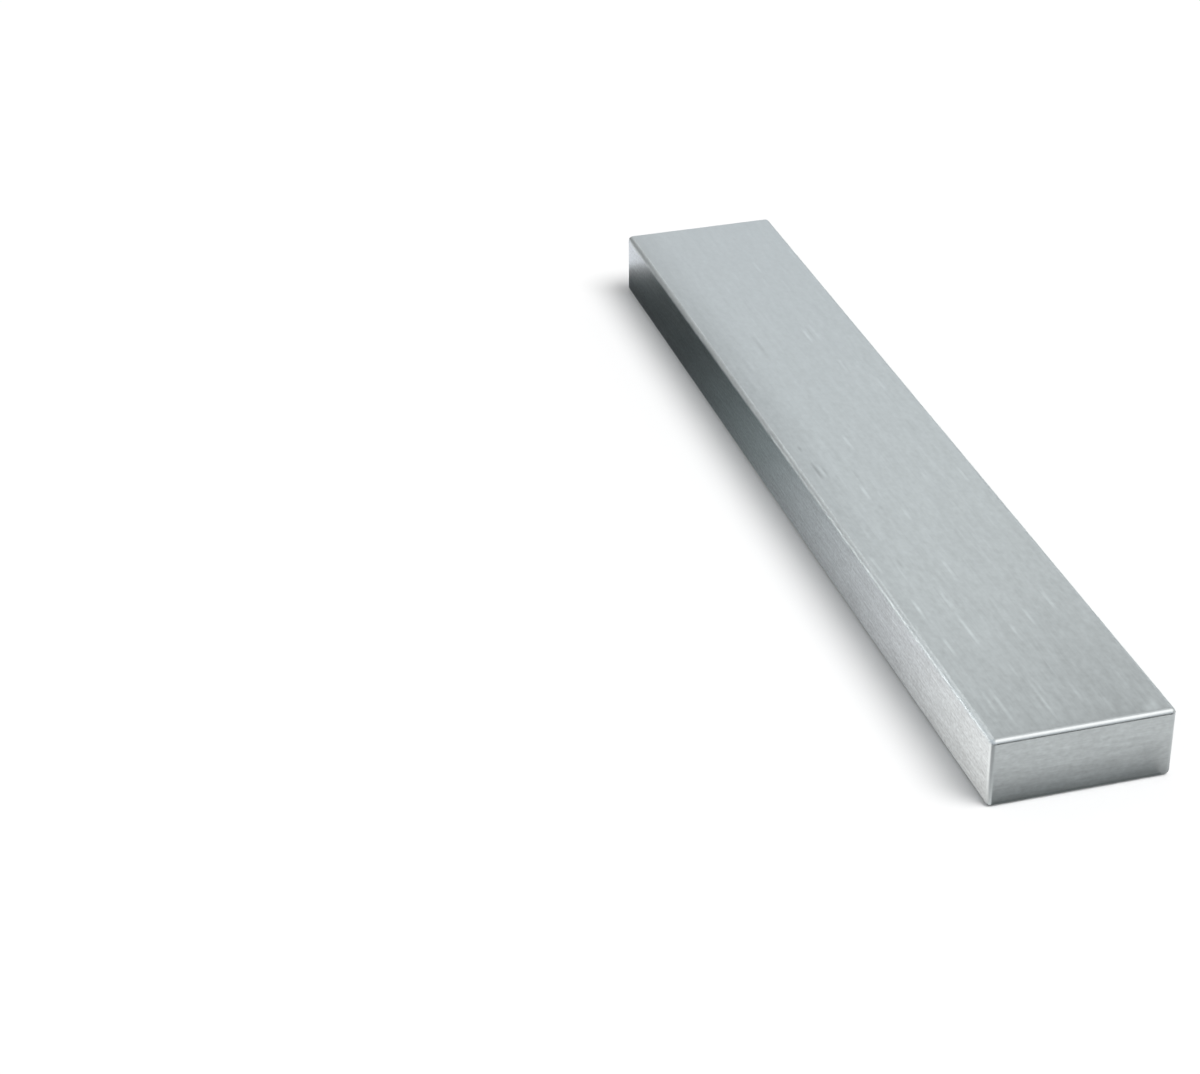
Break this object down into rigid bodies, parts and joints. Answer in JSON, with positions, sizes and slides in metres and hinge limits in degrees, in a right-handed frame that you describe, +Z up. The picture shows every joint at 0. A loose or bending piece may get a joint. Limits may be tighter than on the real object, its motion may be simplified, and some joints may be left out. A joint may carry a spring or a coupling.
{
  "type": "flat bar",
  "caption": "Short length of solid stainless steel flat bar with a brushed finish and eased edges, stock for frames, brackets, plates and spacers.",
  "frame": {"origin": "middle of the wide face that the bar lies on, halfway along its length", "axes": "+X along the bar, +Y across its wide face, +Z up through its thickness"},
  "size_m": [0.25, 0.04, 0.016],
  "materials": {
    "brushed_stainless": "linished stainless steel with fine straight grain along the bar and across its cut ends"
  },
  "bodies": {
    "root": {"flat_bar": "brushed_stainless"}
  },
  "joints": []
}
